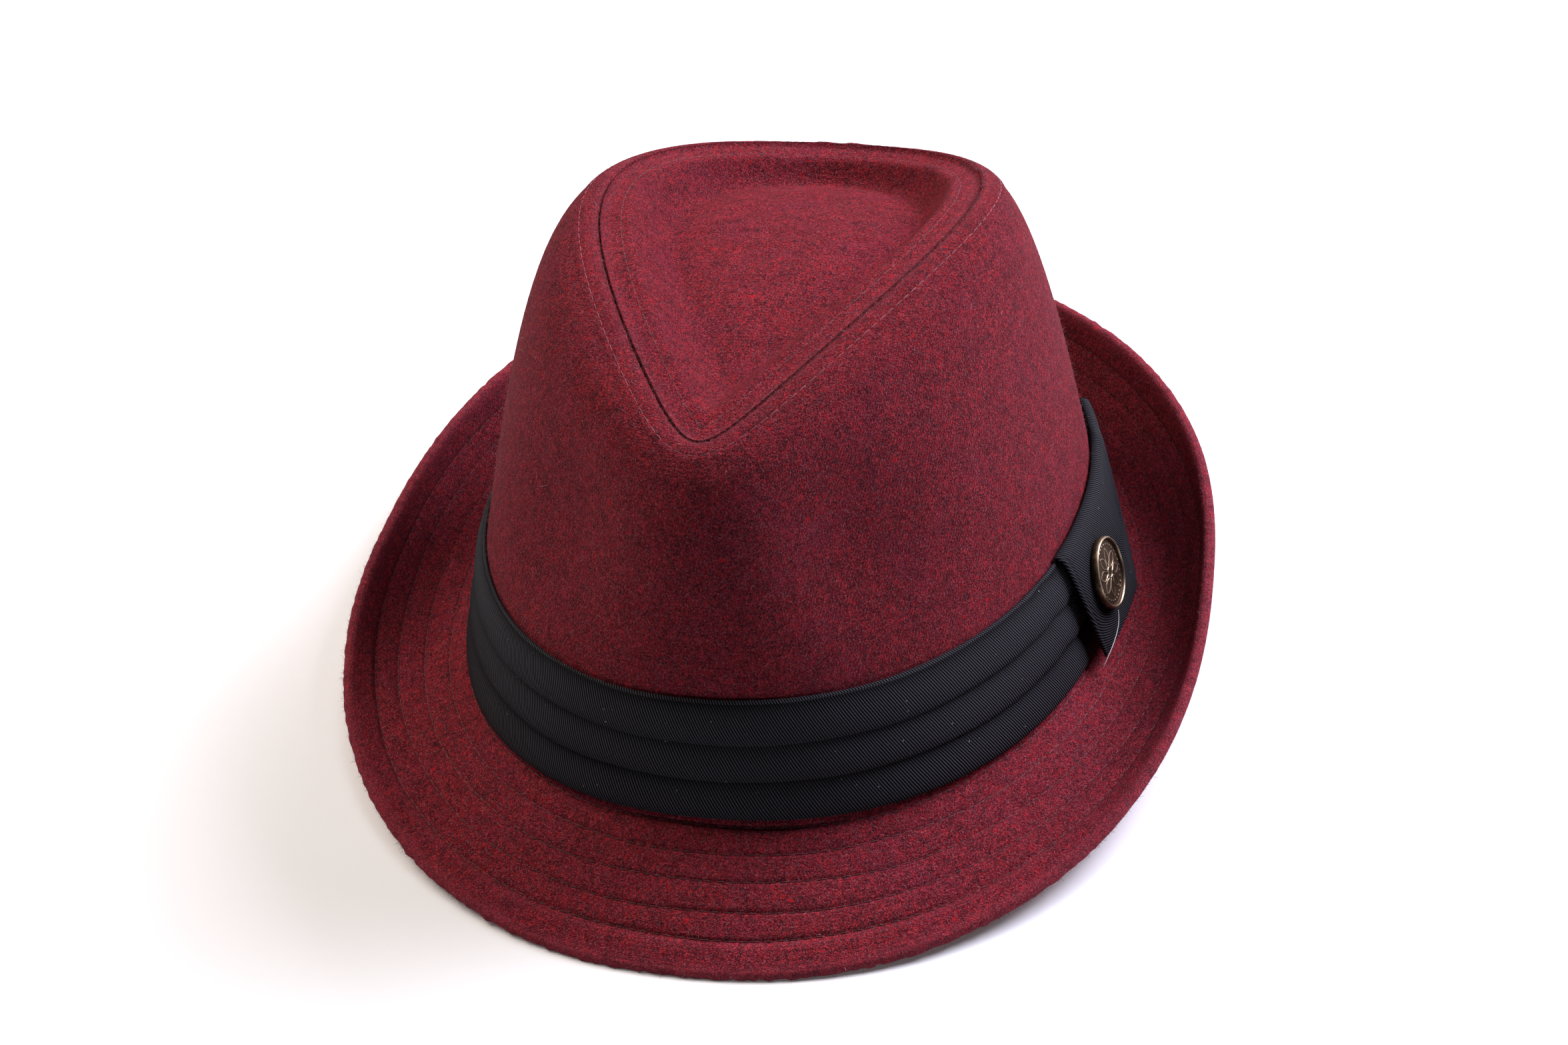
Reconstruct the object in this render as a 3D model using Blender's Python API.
"""Teardrop fedora of burgundy wool felt, with a pleated twill band, a lapped tab and a metal button.

Units are metres and degrees. The front of the hat faces -Y, the wearer's left is +X and +Z is up.
An azimuth goes round the hat: 0 at the front, 90 on the wearer's left and 180 at the back.
The hat stands by itself: the front edge of the brim and the crease at the back touch the floor, z = 0.
"""

from collections import namedtuple

import bmesh
import bpy
import numpy as np
from mathutils import Vector

# Felt, twill and the gap that sewn pieces keep.
CROWN_FELT = 0.0020
BRIM_FELT = 0.0026
TWILL = 0.0010
SEWN_GAP = 0.0003

# Head oval: the outer face of the felt where the crown meets the brim.
OVAL_HALF_LENGTH = 0.1044
OVAL_HALF_WIDTH = 0.0857
OVAL_SQUARENESS = 2.18
OVAL_FRONT_TAPER = 0.056

# Crown: heights over the head oval, up to the seam of the top panel.
CROWN_HEIGHT = 0.1104
CROWN_LEAN = 0.53
PINCH_DEPTH = 0.0055
PINCH_AZIMUTH = 37
PINCH_SPREAD = 17
PINCH_FOOT_SHARE = 0.33
PINCH_SWELL = 1.3
CrownSection = namedtuple("CrownSection", "azimuth height_share roundness")
CROWN_SECTIONS = (
    CrownSection(azimuth=0, height_share=0.814, roundness=3.9),
    CrownSection(azimuth=90, height_share=1.000, roundness=3.7),
    CrownSection(azimuth=180, height_share=0.820, roundness=2.3),
)
CROWN_ROWS = (0, 0.10, 0.25, 0.42, 0.60, 0.75, 0.87, 0.95, 0.988, 1)

# Top panel: a teardrop with its point to the front, sunk below the ridge.
TIP_HALF_LENGTH = 0.0828
TIP_HALF_WIDTH = 0.0468
TIP_SETBACK = 0.0104
TIP_SHARPNESS = 1.30
TIP_BLUNT = 0.42
TIP_LEVEL = 0.0060
TIP_FALL = 0.0130
TIP_DEPTH = 0.0115
TIP_DOME = 0.0030
TIP_CENTRE_SHARE = 0.22
TipSection = namedtuple("TipSection", "azimuth fall_share")
TIP_SECTIONS = (
    TipSection(azimuth=0, fall_share=1.00),
    TipSection(azimuth=90, fall_share=1.00),
    TipSection(azimuth=180, fall_share=0.55),
)
TIP_LEVEL_ROWS = (0, 0.5, 1)
TIP_FALL_ROWS = (0.3, 0.55, 0.8, 1.05)
TIP_FLOOR_ROWS = (0.62, 0.30)
SEAM_SAMPLES = 360
NEARNESS_POWER = 6
NEARNESS_SCALE = 1.033

# Brim: each section is an arc that leaves the crown at one angle and ends at another, up being positive.
BRIM_WIDTH = 0.0389
BREAK_ROLL = 0.0020
BREAK_ROLL_LENGTH = 0.0035
SIDE_LIFT = 0.0012
SETTLE = 0.0005
BrimSection = namedtuple("BrimSection", "azimuth width_share root_angle edge_angle")
BRIM_SECTIONS = (
    BrimSection(azimuth=0, width_share=1.00, root_angle=-24, edge_angle=-31),
    BrimSection(azimuth=45, width_share=0.94, root_angle=-30, edge_angle=9),
    BrimSection(azimuth=90, width_share=0.92, root_angle=-24, edge_angle=82),
    BrimSection(azimuth=135, width_share=0.95, root_angle=12, edge_angle=82),
    BrimSection(azimuth=180, width_share=0.99, root_angle=34, edge_angle=88),
)
BRIM_ROWS = (0, 0.06, 0.16, 0.32, 0.50, 0.68, 0.84, 1)
BRIM_EDGE_BULGE = 0.45

# Band: three pleats that lap like shingles, the upper over the lower.
BAND_HEIGHT = 0.0309
BAND_FOOT = 0.0011
PLEATS = 3
PLEAT_LAP = 0.0009
PleatPoint = namedtuple("PleatPoint", "height_share lap_share")
PLEAT_POINTS = (
    PleatPoint(height_share=0.00, lap_share=0.70),
    PleatPoint(height_share=0.10, lap_share=1.00),
    PleatPoint(height_share=0.55, lap_share=0.62),
    PleatPoint(height_share=0.94, lap_share=0.00),
)

# Tab: the band's smooth end, which laps over the pleats and stands off them along its lower edge.
TAB_THICKNESS = 0.0012
TAB_STANDOFF = 0.0050
TAB_FRONT_BOTTOM_AZIMUTH = 78.5
TAB_FRONT_TOP_AZIMUTH = 76.5
TAB_BACK_AZIMUTH = 122
TabSection = namedtuple("TabSection", "length_share standoff_share")
TAB_SECTIONS = (
    TabSection(length_share=0.00, standoff_share=0.68),
    TabSection(length_share=0.41, standoff_share=1.00),
    TabSection(length_share=0.56, standoff_share=0.56),
    TabSection(length_share=0.72, standoff_share=0.30),
    TabSection(length_share=0.90, standoff_share=0.16),
    TabSection(length_share=1.00, standoff_share=0.00),
)
TAB_ROWS = 6
TAB_COLUMNS = 13

# Button: a turned disc with a raised rim and a plain rosette.
BUTTON_DIAMETER = 0.0200
BUTTON_THICKNESS = 0.0024
BUTTON_AZIMUTH = 86
BUTTON_HEIGHT_SHARE = 0.56
BUTTON_SIDES = 32
ROSETTE_PETALS = 8
ROSETTE_RELIEF = 0.0004
ButtonRing = namedtuple("ButtonRing", "radius_share height_share petal_share")
BUTTON_RINGS = (
    ButtonRing(radius_share=0.93, height_share=0.00, petal_share=0),
    ButtonRing(radius_share=1.00, height_share=0.30, petal_share=0),
    ButtonRing(radius_share=1.00, height_share=0.72, petal_share=0),
    ButtonRing(radius_share=0.96, height_share=0.97, petal_share=0),
    ButtonRing(radius_share=0.90, height_share=1.00, petal_share=0),
    ButtonRing(radius_share=0.84, height_share=0.90, petal_share=0),
    ButtonRing(radius_share=0.80, height_share=0.62, petal_share=0),
    ButtonRing(radius_share=0.66, height_share=0.66, petal_share=0.3),
    ButtonRing(radius_share=0.44, height_share=0.72, petal_share=1),
    ButtonRing(radius_share=0.20, height_share=0.76, petal_share=0.3),
)

# Fineness of the round shapes.
SIDES = 64
SMALL_AZIMUTH = 0.001
REST_SAMPLES = 41
SMOOTH_ANGLE = 40

AZIMUTHS = np.arange(SIDES) * 2 * np.pi / SIDES


def round_the_hat(azimuths, values):
    """Return a smooth function of the azimuth, alike on both sides, through the values given for some azimuths."""
    orders = np.arange(len(values))
    waves = np.cos(np.outer(np.radians(azimuths), orders))
    coefficients = np.linalg.solve(waves, np.asarray(values, dtype=float))
    return lambda azimuth: np.cos(np.multiply.outer(azimuth, orders)) @ coefficients


def column(sections, name):
    """List one named column of a table."""
    return [getattr(section, name) for section in sections]


BRIM_AZIMUTHS = column(BRIM_SECTIONS, "azimuth")
CROWN_AZIMUTHS = column(CROWN_SECTIONS, "azimuth")
brim_width_share = round_the_hat(BRIM_AZIMUTHS, column(BRIM_SECTIONS, "width_share"))
brim_root_angle = round_the_hat(BRIM_AZIMUTHS, column(BRIM_SECTIONS, "root_angle"))
brim_edge_angle = round_the_hat(BRIM_AZIMUTHS, column(BRIM_SECTIONS, "edge_angle"))
crown_height_share = round_the_hat(CROWN_AZIMUTHS, column(CROWN_SECTIONS, "height_share"))
crown_roundness = round_the_hat(CROWN_AZIMUTHS, column(CROWN_SECTIONS, "roundness"))
tip_fall_share = round_the_hat(column(TIP_SECTIONS, "azimuth"), column(TIP_SECTIONS, "fall_share"))


def head_oval(azimuth):
    """Plan position on the head oval, a slightly square ellipse that narrows to the front."""
    sine, cosine = np.sin(azimuth), np.cos(azimuth)
    reach = (np.abs(sine) ** OVAL_SQUARENESS + np.abs(cosine) ** OVAL_SQUARENESS) ** (-1 / OVAL_SQUARENESS)
    x = OVAL_HALF_WIDTH * sine * reach * (1 - OVAL_FRONT_TAPER * cosine)
    y = -OVAL_HALF_LENGTH * cosine * reach
    return np.stack([x, y], axis=-1)


def outward(curve, azimuth):
    """Level unit vector that points out of a closed plan curve."""
    run = curve(azimuth + SMALL_AZIMUTH) - curve(azimuth - SMALL_AZIMUTH)
    out = np.stack([run[..., 1], -run[..., 0]], axis=-1)
    return out / np.linalg.norm(out, axis=-1, keepdims=True)


def brim_arc(azimuth, share):
    """Distance out from the crown, height over the crease, and slope, at a share of the brim's width."""
    root = np.radians(brim_root_angle(azimuth))
    edge = np.radians(brim_edge_angle(azimuth))
    travelled = BRIM_WIDTH * brim_width_share(azimuth) * share
    half_turn = (edge - root) * share / 2
    chord = travelled * np.sinc(half_turn / np.pi)
    roll = BREAK_ROLL * np.exp(-travelled / BREAK_ROLL_LENGTH)
    return chord * np.cos(root + half_turn), chord * np.sin(root + half_turn) + roll, root + 2 * half_turn


def drop_below_crease(azimuth):
    """How far the underside of the brim reaches below the crease."""
    _, height, slope = brim_arc(azimuth, np.linspace(0, 1, REST_SAMPLES))
    return -(height - BRIM_FELT * np.cos(slope)).min()


front_drop, side_drop, back_drop = (drop_below_crease(np.radians(azimuth)) for azimuth in CROWN_AZIMUTHS)
crease_height = round_the_hat(
    CROWN_AZIMUTHS, [front_drop - SETTLE, side_drop - SETTLE + SIDE_LIFT, back_drop - SETTLE]
)


def crown_foot_height(azimuth):
    """Height of the brim's top face where the crown stands on it."""
    return crease_height(azimuth) + BREAK_ROLL


def seam_height(azimuth):
    """Height of the seam between side panel and top panel."""
    return crown_foot_height(azimuth) + CROWN_HEIGHT * crown_height_share(azimuth)


def tip_outline(azimuth):
    """Plan position on the teardrop seam."""
    fullness = ((np.sin(azimuth / 2) ** 2 + TIP_BLUNT**2) / (1 + TIP_BLUNT**2)) ** (TIP_SHARPNESS / 2)
    around = np.linspace(0, np.pi, SEAM_SAMPLES)
    widest = (np.sin(around) * np.sin(around / 2) ** TIP_SHARPNESS).max()
    x = TIP_HALF_WIDTH * np.sin(azimuth) * fullness / widest
    y = TIP_SETBACK - TIP_HALF_LENGTH * np.cos(azimuth)
    return np.stack([x, y], axis=-1)


def crown_plan(azimuth, share, offset=0):
    """Plan position on the side panel at a share of its height, moved out by an offset."""
    roundness = crown_roundness(azimuth)
    shoulder = 1 - (1 - share**roundness) ** (1 / roundness)
    inward = (CROWN_LEAN * share + (1 - CROWN_LEAN) * shoulder)[..., None]
    from_front = np.abs(np.degrees(np.arctan2(np.sin(azimuth), np.cos(azimuth))))
    pinch = PINCH_DEPTH * np.exp(-(((from_front - PINCH_AZIMUTH) / PINCH_SPREAD) ** 2))
    rise = np.clip((share - PINCH_FOOT_SHARE) / (1 - PINCH_FOOT_SHARE), 0, 1)
    pinch = pinch * np.sin(np.pi * rise) ** PINCH_SWELL
    plan = head_oval(azimuth) * (1 - inward) + tip_outline(azimuth) * inward
    return plan + outward(head_oval, azimuth) * (offset - pinch)[..., None]


def crown_point(azimuth, share, offset=0):
    """Point on the outer face of the side panel."""
    height = crown_foot_height(azimuth) * (1 - share) + seam_height(azimuth) * share
    return np.concatenate([crown_plan(azimuth, share, offset), height[..., None]], axis=-1)


def band_point(azimuth, height, offset):
    """Point beside the side panel, at a height over its foot and moved out by an offset."""
    share = height / (CROWN_HEIGHT * crown_height_share(azimuth))
    return crown_point(azimuth, share, offset)


def face_normals(grid):
    """Unit normals of a grid of points whose rows climb and whose columns go round by azimuth."""
    along = np.roll(grid, -1, axis=1) - np.roll(grid, 1, axis=1)
    climb = np.gradient(grid, axis=0)
    normal = np.cross(along, climb)
    return normal / np.linalg.norm(normal, axis=-1, keepdims=True)


def new_object(name, mesh_builder, material):
    """Make a named object from a bmesh, with its faces turned out and its round faces shaded smooth."""
    mesh = bpy.data.meshes.new(name)
    bmesh.ops.recalc_face_normals(mesh_builder, faces=mesh_builder.faces)
    mesh_builder.to_mesh(mesh)
    mesh_builder.free()
    mesh.shade_smooth()
    mesh.set_sharp_from_angle(angle=np.radians(SMOOTH_ANGLE))
    mesh.materials.append(material)
    thing = bpy.data.objects.new(name, mesh)
    bpy.context.scene.collection.objects.link(thing)
    return thing


def add_loop(builder, points):
    """Add a closed loop of vertices."""
    return [builder.verts.new(point) for point in points]


def join_loops(builder, first, second):
    """Join two loops of the same length by four-sided faces."""
    for place in range(len(first)):
        following = (place + 1) % len(first)
        builder.faces.new((first[place], first[following], second[following], second[place]))


def close_loop(builder, loop, point):
    """Close a loop by triangles that meet in one point."""
    centre = builder.verts.new(point)
    for place in range(len(loop)):
        builder.faces.new((loop[place], loop[(place + 1) % len(loop)], centre))


def ring_solid(name, loops, material):
    """Solid ring round the hat, whose cross-section goes through the given loops and back to the first."""
    builder = bmesh.new()
    rims = [add_loop(builder, loop) for loop in loops]
    for rim, following in zip(rims, rims[1:] + rims[:1]):
        join_loops(builder, rim, following)
    return new_object(name, builder, material)


def make_crown_wall(material):
    """Side panel: one felt wall from the brim to the teardrop seam."""
    rows = np.array(CROWN_ROWS, dtype=float)
    outer = crown_point(AZIMUTHS[None, :], rows[:, None])
    inner = outer - face_normals(outer) * CROWN_FELT
    foot_gap = np.array([0, 0, SEWN_GAP])
    level_in = np.append(outward(head_oval, AZIMUTHS), np.zeros((SIDES, 1)), axis=1) * CROWN_FELT
    outer[0] += foot_gap
    inner[0] = outer[0] - level_in
    inner[-1] = outer[-1] - np.array([0, 0, CROWN_FELT])
    return ring_solid("crown_wall", [*outer, *inner[::-1]], material)


def nearest_seam(plan):
    """Smooth measure of the distance from a plan point to the teardrop seam, and the seam's height there."""
    around = np.arange(SEAM_SAMPLES) * 2 * np.pi / SEAM_SAMPLES
    seam = tip_outline(around)
    step = np.linalg.norm(np.roll(seam, -1, axis=0) - seam, axis=1)
    gap = np.linalg.norm(plan[..., None, :] - seam, axis=-1)
    gap = np.sqrt(gap**2 + (step / 2) ** 2)
    pull = gap**-NEARNESS_POWER * step
    crowd = pull.sum(axis=-1)
    return NEARNESS_SCALE * crowd ** (-1 / (NEARNESS_POWER - 1)), pull @ seam_height(around) / crowd


def ease(share):
    """Level start and finish between 0 and 1."""
    share = np.clip(share, 0, 1)
    return share * share * (3 - 2 * share)


def tip_height(plan):
    """Height of the top panel: level by the seam, then down a soft wall to a domed floor."""
    lengthwise = np.arccos(np.clip((TIP_SETBACK - plan[..., 1]) / TIP_HALF_LENGTH, -1, 1))
    distance, rim = nearest_seam(plan)
    fall = TIP_FALL * tip_fall_share(lengthwise)
    inside = distance - TIP_LEVEL
    dome = 1 - np.clip((inside - fall) / (TIP_HALF_WIDTH - TIP_LEVEL - TIP_FALL), 0, 1)
    floor = seam_height(lengthwise) - TIP_DEPTH + TIP_DOME * (1 - dome**2)
    sunk = ease(inside / fall)
    return rim * (1 - sunk) + floor * sunk


def make_crown_tip(material):
    """Top panel: a teardrop of felt, inside the seam by the sewn gap."""
    rim = tip_outline(AZIMUTHS) - outward(tip_outline, AZIMUTHS) * SEWN_GAP
    centre = np.array([0, TIP_SETBACK + TIP_HALF_LENGTH * TIP_CENTRE_SHARE])
    radius = np.linalg.norm(rim - centre, axis=1)
    insets = [TIP_LEVEL * row for row in TIP_LEVEL_ROWS]
    insets += [TIP_LEVEL + TIP_FALL * row for row in TIP_FALL_ROWS]
    shares = [1 - inset / radius for inset in insets]
    shares += [shares[-1] * row for row in TIP_FLOOR_ROWS]
    plans = [centre + (rim - centre) * share[:, None] for share in shares]
    down = np.array([0, 0, CROWN_FELT])
    top = [np.column_stack([plan, tip_height(plan)]) for plan in plans]
    top[0][:, 2] = seam_height(AZIMUTHS)
    middle = np.array([*centre, float(tip_height(centre))])
    builder = bmesh.new()
    upper = [add_loop(builder, loop) for loop in top]
    lower = [add_loop(builder, loop - down) for loop in top]
    for outer_loop, inner_loop in zip(upper, upper[1:]):
        join_loops(builder, outer_loop, inner_loop)
    for outer_loop, inner_loop in zip(lower, lower[1:]):
        join_loops(builder, outer_loop, inner_loop)
    join_loops(builder, upper[0], lower[0])
    close_loop(builder, upper[-1], middle)
    close_loop(builder, lower[-1], middle - down)
    return new_object("crown_tip", builder, material)


def brim_point(azimuth, share):
    """Point on the top face of the brim, and the outward unit vector and slope there."""
    out, height, slope = brim_arc(azimuth, share)
    away = outward(head_oval, azimuth)
    plan = head_oval(azimuth) + away * out[..., None]
    level = (crease_height(azimuth) + height)[..., None]
    return np.concatenate([plan, level], axis=-1), away, slope


def make_brim(material):
    """Brim: one sheet of stitched felt, pressed flat where it rests on the floor."""
    shares = np.array(BRIM_ROWS, dtype=float)[:, None]
    top, away, slope = brim_point(np.broadcast_to(AZIMUTHS, (len(BRIM_ROWS), SIDES)), shares)
    tilt = slope[..., None]
    below = np.concatenate([-away * np.sin(tilt), np.cos(tilt)], axis=-1) * BRIM_FELT
    under = top - below
    beyond = np.concatenate([away * np.cos(tilt), np.sin(tilt)], axis=-1)
    edge = (top[-1] + under[-1]) / 2 + beyond[-1] * BRIM_FELT * BRIM_EDGE_BULGE
    level_in = np.append(away[0], np.zeros((SIDES, 1)), axis=1) * CROWN_FELT
    thickness = np.array([0, 0, BRIM_FELT])
    inner_top = top[0] - level_in
    under[0] = top[0] - thickness
    inner_under = inner_top - thickness
    loops = [inner_top, *top, edge, *under[::-1], inner_under]
    for loop in loops:
        loop[:, 2] = np.maximum(loop[:, 2], 0)
    return ring_solid("brim", loops, material)


def make_hat_band(material):
    """Band: three lapped pleats round the foot of the crown."""
    pleat_height = BAND_HEIGHT / PLEATS
    outer = []
    for pleat in range(PLEATS):
        for point in PLEAT_POINTS:
            height = BAND_FOOT + (pleat + point.height_share) * pleat_height
            outer.append((height, SEWN_GAP + TWILL + PLEAT_LAP * point.lap_share))
    outer.append((BAND_FOOT + BAND_HEIGHT, SEWN_GAP + TWILL))
    inner = [(BAND_FOOT + pleat * pleat_height, SEWN_GAP) for pleat in range(PLEATS + 1)]
    profile = outer + inner[::-1]
    loops = [band_point(AZIMUTHS, np.full(SIDES, height), offset) for height, offset in profile]
    return ring_solid("hat_band", loops, material)


def tab_point(length_share, height_share):
    """Point on the inner face of the tab, from its front edge to its back end and from bottom to top."""
    front = TAB_FRONT_BOTTOM_AZIMUTH + (TAB_FRONT_TOP_AZIMUTH - TAB_FRONT_BOTTOM_AZIMUTH) * height_share
    azimuth = np.radians(front + (TAB_BACK_AZIMUTH - front) * length_share)
    standoff_shares = column(TAB_SECTIONS, "standoff_share")
    standoff = TAB_STANDOFF * np.interp(length_share, column(TAB_SECTIONS, "length_share"), standoff_shares)
    seat = SEWN_GAP + TWILL + PLEAT_LAP + SEWN_GAP
    height = BAND_FOOT + BAND_HEIGHT * height_share
    return band_point(azimuth, height, seat + standoff * (1 - height_share))


def tab_outer(length_share, height_share):
    """Point on the outer face of the tab, and the unit normal there."""
    step = SMALL_AZIMUTH
    point = tab_point(length_share, height_share)
    along = tab_point(length_share + step, height_share) - tab_point(length_share - step, height_share)
    climb = tab_point(length_share, height_share + step) - tab_point(length_share, height_share - step)
    normal = np.cross(along, climb)
    normal /= np.linalg.norm(normal, axis=-1, keepdims=True)
    return point + normal * TAB_THICKNESS, normal


def make_band_tab(material):
    """Tab: a sheet of twill with a slanted front edge."""
    lengths, heights = np.meshgrid(np.linspace(0, 1, TAB_COLUMNS), np.linspace(0, 1, TAB_ROWS))
    inner = tab_point(lengths, heights)
    outer, _ = tab_outer(lengths, heights)
    builder = bmesh.new()
    sheets = [[add_loop(builder, row) for row in sheet] for sheet in (inner, outer)]
    for sheet in sheets:
        for row, next_row in zip(sheet, sheet[1:]):
            for place in range(TAB_COLUMNS - 1):
                builder.faces.new((row[place], row[place + 1], next_row[place + 1], next_row[place]))
    borders = [
        sheet[0] + [row[-1] for row in sheet[1:-1]] + sheet[-1][::-1] + [row[0] for row in sheet[-2:0:-1]]
        for sheet in sheets
    ]
    join_loops(builder, *borders)
    return new_object("band_tab", builder, material)


def button_seat():
    """Centre of the button's back, and its axis, just clear of the tab."""
    front = TAB_FRONT_BOTTOM_AZIMUTH + (TAB_FRONT_TOP_AZIMUTH - TAB_FRONT_BOTTOM_AZIMUTH) * BUTTON_HEIGHT_SHARE
    length_share = np.array((BUTTON_AZIMUTH - front) / (TAB_BACK_AZIMUTH - front))
    centre, normal = tab_outer(length_share, np.array(BUTTON_HEIGHT_SHARE))
    lengths, heights = np.meshgrid(np.linspace(0, 1, 4 * TAB_COLUMNS), np.linspace(0, 1, 4 * TAB_ROWS))
    reach = tab_outer(lengths, heights)[0] - centre
    rise = reach @ normal
    across = np.linalg.norm(reach - rise[..., None] * normal, axis=-1)
    stand = rise[across <= BUTTON_DIAMETER / 2].max() + SEWN_GAP
    return Vector(centre + normal * stand), Vector(normal)


def make_button(material):
    """Button: a disc with a rim, its face raised in petals, placed on the tab by its location and rotation."""
    around = np.arange(BUTTON_SIDES) * 2 * np.pi / BUTTON_SIDES
    petals = (1 + np.cos(ROSETTE_PETALS * around)) / 2
    builder = bmesh.new()
    rings = []
    for ring in BUTTON_RINGS:
        radius = BUTTON_DIAMETER / 2 * ring.radius_share
        height = BUTTON_THICKNESS * ring.height_share + ROSETTE_RELIEF * ring.petal_share * petals
        rings.append(add_loop(builder, np.column_stack([radius * np.cos(around), radius * np.sin(around), height])))
    for ring, following in zip(rings, rings[1:]):
        join_loops(builder, ring, following)
    close_loop(builder, rings[0], (0, 0, 0))
    close_loop(builder, rings[-1], (0, 0, BUTTON_THICKNESS * BUTTON_RINGS[-1].height_share))
    button = new_object("button", builder, material)
    seat, axis = button_seat()
    button.location = seat
    button.rotation_euler = axis.to_track_quat("Z", "Y").to_euler()
    return button


def plain_material(name, colour, roughness, metallic=0):
    """Principled material of one colour."""
    material = bpy.data.materials.new(name)
    material.use_nodes = True
    shader = material.node_tree.nodes["Principled BSDF"]
    shader.inputs["Base Color"].default_value = (*colour, 1)
    shader.inputs["Roughness"].default_value = roughness
    shader.inputs["Metallic"].default_value = metallic
    return material


def centre_on_floor(things):
    """Parent the pieces to an empty that sets the middle of the hat's box over the origin."""
    bpy.context.view_layer.update()
    corners = np.array([thing.matrix_world @ vertex.co for thing in things for vertex in thing.data.vertices])
    middle = (corners.min(axis=0) + corners.max(axis=0)) / 2
    stand = bpy.data.objects.new("hat_origin", None)
    bpy.context.scene.collection.objects.link(stand)
    stand.location = (-middle[0], -middle[1], -corners[:, 2].min())
    for thing in things:
        thing.parent = stand


def main():
    """Clear the scene and build the hat."""
    for thing in list(bpy.data.objects):
        bpy.data.objects.remove(thing, do_unlink=True)
    pieces = (
        make_crown_wall(plain_material("wall felt", (0.120, 0.014, 0.024), 0.95)),
        make_crown_tip(plain_material("tip felt", (0.130, 0.016, 0.028), 0.95)),
        make_brim(plain_material("brim felt", (0.120, 0.014, 0.024), 0.95)),
        make_hat_band(plain_material("band twill", (0.012, 0.012, 0.015), 0.70)),
        make_band_tab(plain_material("tab twill", (0.012, 0.012, 0.015), 0.70)),
        make_button(plain_material("aged bronze", (0.180, 0.130, 0.085), 0.35, metallic=1)),
    )
    centre_on_floor(pieces)


main()
